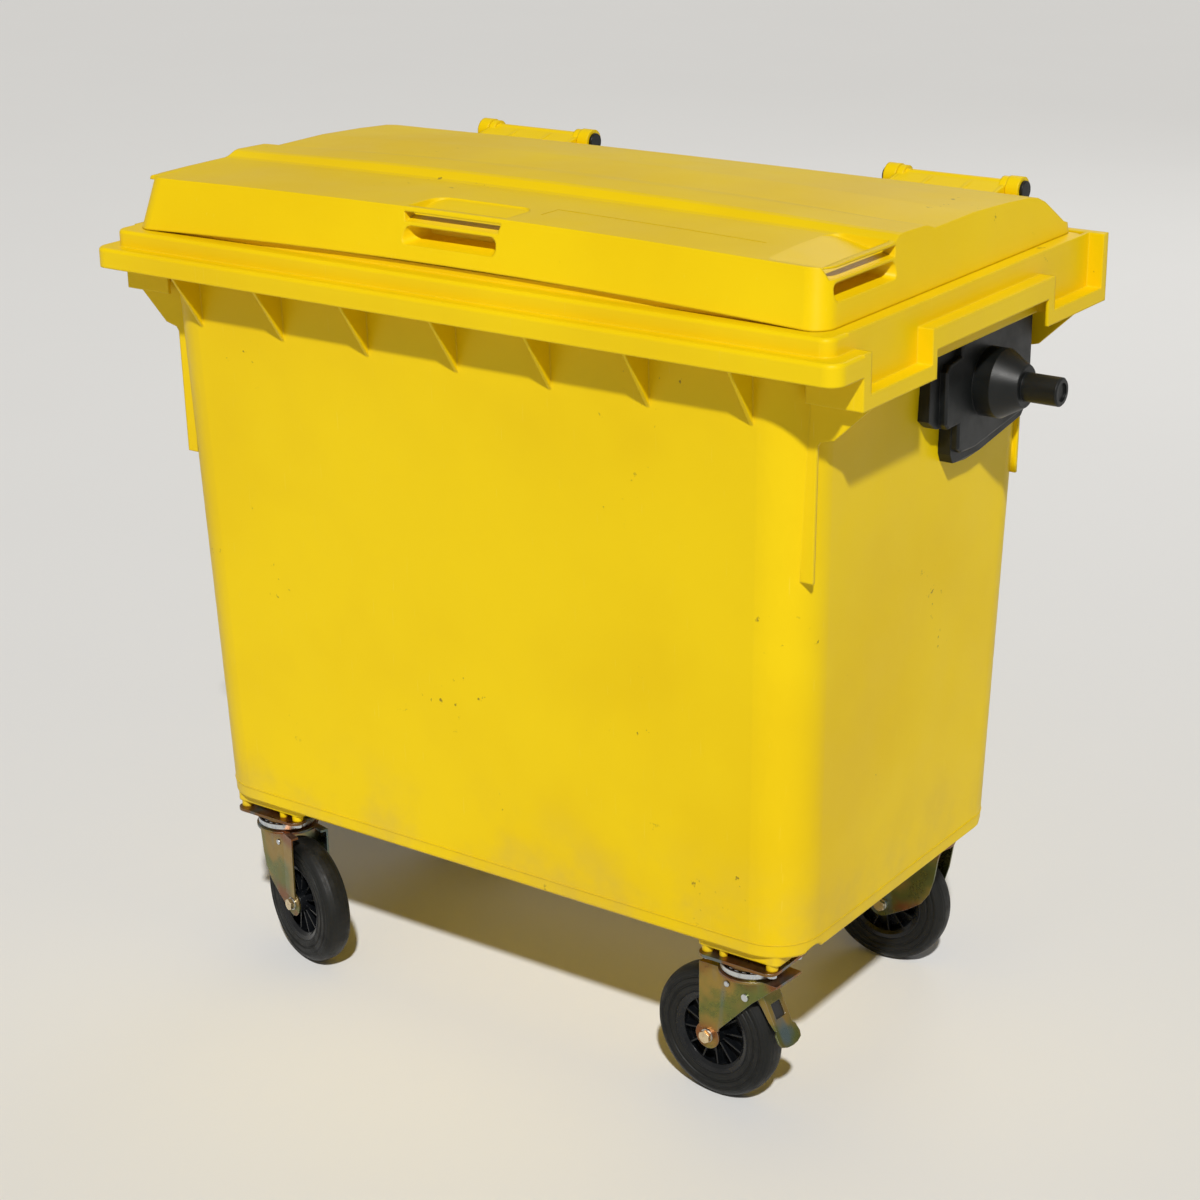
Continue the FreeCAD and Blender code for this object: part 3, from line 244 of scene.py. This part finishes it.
def tyre_rubber(name, wheel):
    """Black solid rubber: dusty tread, and fine turned rings on the side walls."""
    m = Maker(name)
    normal, edge = m.rounded(0.0012)
    radius = from_axle(m, wheel)
    tread = m.between(radius, 0.0945, 0.0985)
    wear = m.between(m.noise(34.0, 6.0, 0.66), 0.36, 0.70)
    rings = m.math("SINE", m.math("MULTIPLY", radius, 2.0 * math.pi / 0.0034))
    rings = m.between(rings, -0.2, 1.0)
    side = m.math("MULTIPLY", m.math("MULTIPLY", rings, wear), 0.30)
    dusty = m.math("MULTIPLY", m.math("MULTIPLY", tread, wear), 0.85)
    colour = m.mix(m.math("MAXIMUM", side, dusty), TYRE_BLACK, TYRE_GREY)
    # Edges are lightened to grey: partly worn rubber, partly a painted highlight.
    colour = m.mix(m.math("MULTIPLY", edge, 0.3), colour, TYRE_GREY)
    normal = m.bump(rings, 0.0004, 0.5, normal)
    normal = m.bump(m.noise(420.0, 4.0, 0.6), 0.0004, 0.6, normal)
    rough = m.between(wear, 0.0, 1.0, 0.46, 0.74)
    m.shade(Base_Color=colour, Roughness=rough, Normal=normal)
    m.shader.inputs["Specular IOR Level"].default_value = 0.30
    return m.material


def soft_rubber(name, base):
    m = Maker(name)
    normal, edge = m.rounded(0.001)
    colour = m.mix(m.between(m.noise(40.0, 5.0, 0.6), 0.4, 0.7, 0.0, 0.4), base, TYRE_GREY)
    # Edges are lightened to grey: partly worn rubber, partly a painted highlight.
    colour = m.mix(m.math("MULTIPLY", edge, 0.3), colour, TYRE_GREY)
    normal = m.bump(m.noise(500.0, 3.0, 0.6), 0.0003, 0.6, normal)
    m.shade(Base_Color=colour, Roughness=0.72, Normal=normal)
    return m.material


def passivated_steel(name, warm):
    """Pressed steel, zinc plated and yellow passivated; warm is the share of red-brown."""
    m = Maker(name)
    normal, edge = m.rounded(0.0009)
    tone = m.noise(15.0, 3.0, 0.5)
    colour = m.mix(m.between(tone, 0.42, 0.62), OLIVE, GOLD)
    z = m.split()[2]
    ends = m.math("MAXIMUM", m.between(z, 0.185, 0.212), m.between(z, 0.135, 0.10))
    red = m.between(m.noise(22.0, 3.0, 0.5), 0.34, 0.62, warm, 1.0)
    red = m.math("MULTIPLY", red, m.between(ends, 0.0, 1.0, warm, 0.85))
    colour = m.mix(red, colour, RED_BROWN)
    blue = m.noise(19.0, 2.0, 0.5, m.stretched((1.0, 1.0, 0.25), (0.0, 0.0, 0.0), (3.1, 0.4, 1.7)))
    colour = m.mix(m.math("MULTIPLY", m.between(blue, 0.58, 0.68), 0.8), colour, STEEL_BLUE)
    # Edges are lightened towards zinc: partly worn passivation, partly a painted highlight.
    colour = m.mix(m.math("MULTIPLY", edge, 0.45), colour, ZINC)
    stain = m.between(m.noise(75.0, 6.0, 0.65), 0.60, 0.74, 0.0, 0.5)
    colour = m.mix(stain, colour, STAIN)
    brushed = m.noise(1.0, 3.0, 0.6, m.stretched((700.0, 700.0, 90.0), (0.0, 0.3, 0.2)))
    normal = m.bump(brushed, 0.00015, 0.5, normal)
    rough = m.between(m.noise(30.0, 4.0, 0.6), 0.3, 0.7, 0.24, 0.42)
    rough = m.math("ADD", rough, m.math("MULTIPLY", stain, 0.3))
    m.shade(Base_Color=colour, Roughness=rough, Normal=normal, Metallic=0.92)
    return m.material


def bright_metal(name, base, dull, rough_low, rough_high, tarnish):
    m = Maker(name)
    normal, _ = m.rounded(0.0006)
    spots = m.between(m.noise(120.0, 5.0, 0.62), 0.50, 0.74, 0.0, tarnish)
    colour = m.mix(spots, base, dull)
    normal = m.bump(m.noise(600.0, 3.0, 0.5), 0.0001, 0.5, normal)
    rough = m.between(m.noise(60.0, 4.0, 0.6), 0.3, 0.7, rough_low, rough_high)
    m.shade(Base_Color=colour, Roughness=rough, Normal=normal, Metallic=1.0)
    return m.material


def floor_white():
    m = Maker("floor_white")
    tone = m.between(m.noise(1.3, 4.0, 0.6), 0.3, 0.7, 0.0, 0.10)
    colour = m.mix(tone, FLOOR_WHITE, FLOOR_SHADE)
    m.shade(Base_Color=colour, Roughness=0.85)
    return m.material


def dress(piece, material):
    piece.data.materials.clear()
    piece.data.materials.append(material)


def materials():
    """One material for each slot, apart from steel and tyres, which differ by place."""
    return {
        "yellow_plastic": yellow_plastic(),
        "black_plastic": dark_plastic("black_plastic", BLACK, BLACK_RUBBED_AND_HIGHLIGHT, 0.36, 0.52, 700.0),
        "grey_plastic": dark_plastic("grey_plastic", DARK_GREY, BLACK_RUBBED_AND_HIGHLIGHT, 0.4, 0.55, 700.0),
        "wheel_plastic": dark_plastic("wheel_plastic", RIM_BLACK, RIM_RUBBED_AND_HIGHLIGHT, 0.20, 0.32, 300.0),
        "seal_rubber": soft_rubber("seal_rubber", SEAL_BLACK),
        "shoe_rubber": soft_rubber("shoe_rubber", SHOE_BLACK),
        "passivated_steel": passivated_steel("passivated_steel", 0.1),
        "zinc": bright_metal("zinc", ZINC, ZINC_DULL, 0.26, 0.40, 0.8),
        "ball_steel": bright_metal("ball_steel", BALL_STEEL, ZINC_DULL, 0.12, 0.2, 0.4),
    }


MATERIALS = materials()
WARM_STEEL = passivated_steel("passivated_plate", 0.6)
BOLT_STEEL = bright_metal("passivated_bolt", WARM_ZINC, RED_BROWN, 0.20, 0.34, 0.5)
for node_name, piece in NODES.items():
    slot = SLOT_OF[node_name]
    if slot == "tyre_rubber":
        wheel_joint = JOINTS[node_name.replace("caster_", "wheel_").replace("_tyre", "_roll")]
        dress(piece, tyre_rubber(node_name + "_rubber", wheel_joint))
    elif node_name.endswith("_plate"):
        dress(piece, WARM_STEEL)
    elif node_name.endswith("_axle"):
        dress(piece, BOLT_STEEL)
    else:
        dress(piece, MATERIALS[slot])


def bead(name, points, radius, closed, body, slot):
    """Thin moulded line: a tube of the given radius that follows the points."""
    curve = bpy.data.curves.new(name, "CURVE")
    curve.dimensions = "3D"
    curve.bevel_depth = radius
    curve.bevel_resolution = 3
    spline = curve.splines.new("POLY")
    spline.points.add(len(points) - 1)
    for target, point in zip(spline.points, points):
        target.co = (*point, 1.0)
    spline.use_cyclic_u = closed
    piece = bpy.data.objects.new(name, curve)
    bpy.context.scene.collection.objects.link(piece)
    piece.data.materials.append(MATERIALS[slot])
    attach(piece, body)
    return piece


def rounded_outline(half_x, front, rear, radius, z, steps=10):
    """Points round a rectangle with rounded corners, at height z."""
    corners = (
        (half_x - radius, rear - radius, 0.0),
        (-half_x + radius, rear - radius, 90.0),
        (-half_x + radius, front + radius, 180.0),
        (half_x - radius, front + radius, 270.0),
    )
    points = []
    for cx, cy, start in corners:
        for step in range(steps + 1):
            angle = math.radians(start + 90.0 * step / steps)
            points.append((cx + radius * math.cos(angle), cy + radius * math.sin(angle), z))
    return points


BODY_HALF = 0.524
BODY_FRONT = -0.309
BODY_REAR = 0.286
BODY_CORNER = 0.070
BODY_BOTTOM = 0.262
DRAFT = 0.0295
BEAD_Z = 0.283
lean = DRAFT * (BEAD_Z - BODY_BOTTOM)
foot_line = rounded_outline(BODY_HALF + lean, BODY_FRONT - lean, BODY_REAR + lean, BODY_CORNER, BEAD_Z)
bead("foot_line", foot_line, 0.0011, True, "bin", "yellow_plastic")


def on_lid(x, y):
    """Point on top of the closed lid at x, y."""
    _, point, _, _ = NODES["lid"].ray_cast(Vector((x, y, 1.4)), Vector((0.0, 0.0, -1.0)))
    return tuple(point)


def lid_field():
    """Hair line left by the mould round the field on the front panel of the lid."""
    corners = ((0.104, -0.271), (0.104, -0.234), (0.435, -0.246))
    points = []
    for (x0, y0), (x1, y1) in zip(corners, corners[1:]):
        for step in range(12):
            t = step / 12
            points.append(on_lid(x0 + t * (x1 - x0), y0 + t * (y1 - y0)))
    points.append(on_lid(*corners[-1]))
    bead("lid_field_line", points, 0.0006, False, "lid", "yellow_plastic")


lid_field()

LEG_OUT = 0.0298                                   # outer face of a fork leg, from the wheel's middle
RIVET_REACH = 0.022                                # along the trail from the swivel's axis
RIVET_Z = 0.193
CAP_PROFILE = ((0.0046, 0.0001), (0.0046, 0.0012), (0.0038, 0.0020), (0.0022, 0.0025), (0.0, 0.0026))
CAP_SIDES = 20


def rivet_cap(name, base, outward, body):
    """Domed head of a rivet on a fork leg."""
    mesh = bpy.data.meshes.new(name)
    shape = bmesh.new()
    turn = Vector(outward).to_track_quat("Z", "Y").to_matrix()
    rings = []
    for radius, height in CAP_PROFILE[:-1]:
        ring = []
        for side in range(CAP_SIDES):
            angle = 2.0 * math.pi * side / CAP_SIDES
            local = Vector((radius * math.cos(angle), radius * math.sin(angle), height))
            ring.append(shape.verts.new(base + turn @ local))
        rings.append(ring)
    tip = shape.verts.new(base + turn @ Vector((0.0, 0.0, CAP_PROFILE[-1][1])))
    for low, high in zip(rings, rings[1:]):
        for side in range(CAP_SIDES):
            after = (side + 1) % CAP_SIDES
            shape.faces.new((low[side], low[after], high[after], high[side]))
    for side in range(CAP_SIDES):
        shape.faces.new((rings[-1][side], rings[-1][(side + 1) % CAP_SIDES], tip))
    shape.faces.new(tuple(reversed(rings[0])))
    for face in shape.faces:
        face.smooth = len(face.verts) < 5
    shape.to_mesh(mesh)
    shape.free()
    piece = bpy.data.objects.new(name, mesh)
    bpy.context.scene.collection.objects.link(piece)
    dress(piece, MATERIALS["zinc"])
    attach(piece, body)


def rivets():
    for caster in ("front_left", "front_right", "rear_left", "rear_right"):
        swivel = Vector(JOINTS["swivel_" + caster + "_turn"]["pos_m"])
        wheel = Vector(JOINTS["wheel_" + caster + "_roll"]["pos_m"])
        along = Vector((wheel.x - swivel.x, wheel.y - swivel.y, 0.0)).normalized()
        across = Vector((-along.y, along.x, 0.0))
        for side in (-1, 1):
            base = Vector((swivel.x, swivel.y, RIVET_Z)) + along * RIVET_REACH + across * side * LEG_OUT
            name = "rivet_%s_%s" % (caster, "a" if side < 0 else "b")
            rivet_cap(name, base, across * side, "swivel_" + caster)


rivets()


def floor():
    mesh = bpy.data.meshes.new("floor")
    shape = bmesh.new()
    bmesh.ops.create_grid(shape, x_segments=8, y_segments=8, size=60.0)
    shape.to_mesh(mesh)
    shape.free()
    piece = bpy.data.objects.new("floor", mesh)
    bpy.context.scene.collection.objects.link(piece)
    piece.data.materials.append(floor_white())


KEY_FROM = (0.43, -0.58, 0.74)    # direction towards the key light
KEY_POWER = 3.2
KEY_ANGLE = 2.5                   # degrees across, which softens the shadow's edge
KEY_TINT = (1.0, 0.985, 0.955)
FILL_TINT = (1.0, 0.94, 0.84)
BACKDROP_TINT = (1.0, 0.96, 0.90, 1.0)
BACKDROP_LIGHT = 0.08             # strength as a light
BACKDROP_SEEN = 0.68              # strength added where the camera sees it
BACKDROP_MIRRORED = 0.35          # strength added in reflections


def softbox(name, place, target, size, power, tint=(1.0, 1.0, 1.0)):
    lamp = bpy.data.lights.new(name, "AREA")
    lamp.shape = "DISK"
    lamp.size = size
    lamp.energy = power
    lamp.color = tint
    holder = bpy.data.objects.new(name, lamp)
    bpy.context.scene.collection.objects.link(holder)
    holder.location = place
    holder.rotation_euler = (Vector(target) - Vector(place)).to_track_quat("-Z", "Y").to_euler()


def studio():
    centre = Vector((0.0, 0.0, 0.7))
    lamp = bpy.data.lights.new("key", "SUN")
    lamp.energy = KEY_POWER
    lamp.angle = math.radians(KEY_ANGLE)
    lamp.color = KEY_TINT
    key = bpy.data.objects.new("key", lamp)
    bpy.context.scene.collection.objects.link(key)
    key.rotation_euler = Vector(KEY_FROM).to_track_quat("Z", "Y").to_euler()
    softbox("front_fill", centre + Vector((-2.6, -5.4, 1.2)), centre, 3.6, 14.0, FILL_TINT)
    softbox("back_fill", centre + Vector((-1.0, 5.5, 3.4)), centre, 3.5, 36.0)
    world = bpy.data.worlds.new("studio")
    bpy.context.scene.world = world
    world.use_nodes = True
    background = world.node_tree.nodes["Background"]
    background.inputs["Color"].default_value = BACKDROP_TINT
    # The backdrop is pale to look at and in reflections, and gives little light of its own.
    tree = world.node_tree
    ray = tree.nodes.new("ShaderNodeLightPath")
    seen = tree.nodes.new("ShaderNodeMath")
    seen.operation = "MULTIPLY_ADD"
    seen.inputs[1].default_value = BACKDROP_SEEN
    seen.inputs[2].default_value = BACKDROP_LIGHT
    tree.links.new(ray.outputs["Is Camera Ray"], seen.inputs[0])
    mirrored = tree.nodes.new("ShaderNodeMath")
    mirrored.operation = "MULTIPLY_ADD"
    mirrored.inputs[1].default_value = BACKDROP_MIRRORED
    tree.links.new(ray.outputs["Is Glossy Ray"], mirrored.inputs[0])
    tree.links.new(seen.outputs[0], mirrored.inputs[2])
    tree.links.new(mirrored.outputs[0], background.inputs["Strength"])
    bpy.context.scene.view_settings.view_transform = "Standard"


CAMERA_PLACE = Vector((2.0917, -2.9248, 1.9178))
CAMERA_YAW = -0.622       # radians, turned from +Y towards -X
CAMERA_PITCH = 0.354      # radians, downwards
CAMERA_ROLL = -0.015
CAMERA_LENS = 76.55       # mm on a 36 mm wide sensor


def camera():
    ahead = Vector((
        math.sin(CAMERA_YAW) * math.cos(CAMERA_PITCH),
        math.cos(CAMERA_YAW) * math.cos(CAMERA_PITCH),
        -math.sin(CAMERA_PITCH),
    ))
    level = Vector((math.cos(CAMERA_YAW), -math.sin(CAMERA_YAW), 0.0))
    upright = level.cross(ahead)
    side = math.cos(CAMERA_ROLL) * level + math.sin(CAMERA_ROLL) * upright
    top = math.cos(CAMERA_ROLL) * upright - math.sin(CAMERA_ROLL) * level
    data = bpy.data.cameras.new("camera")
    data.sensor_width = 36.0
    data.lens = CAMERA_LENS
    data.clip_end = 100.0
    holder = bpy.data.objects.new("camera", data)
    bpy.context.scene.collection.objects.link(holder)
    matrix = Matrix((side, top, -ahead)).transposed().to_4x4()
    matrix.translation = CAMERA_PLACE
    holder.matrix_world = matrix
    bpy.context.scene.camera = holder


floor()
studio()
camera()
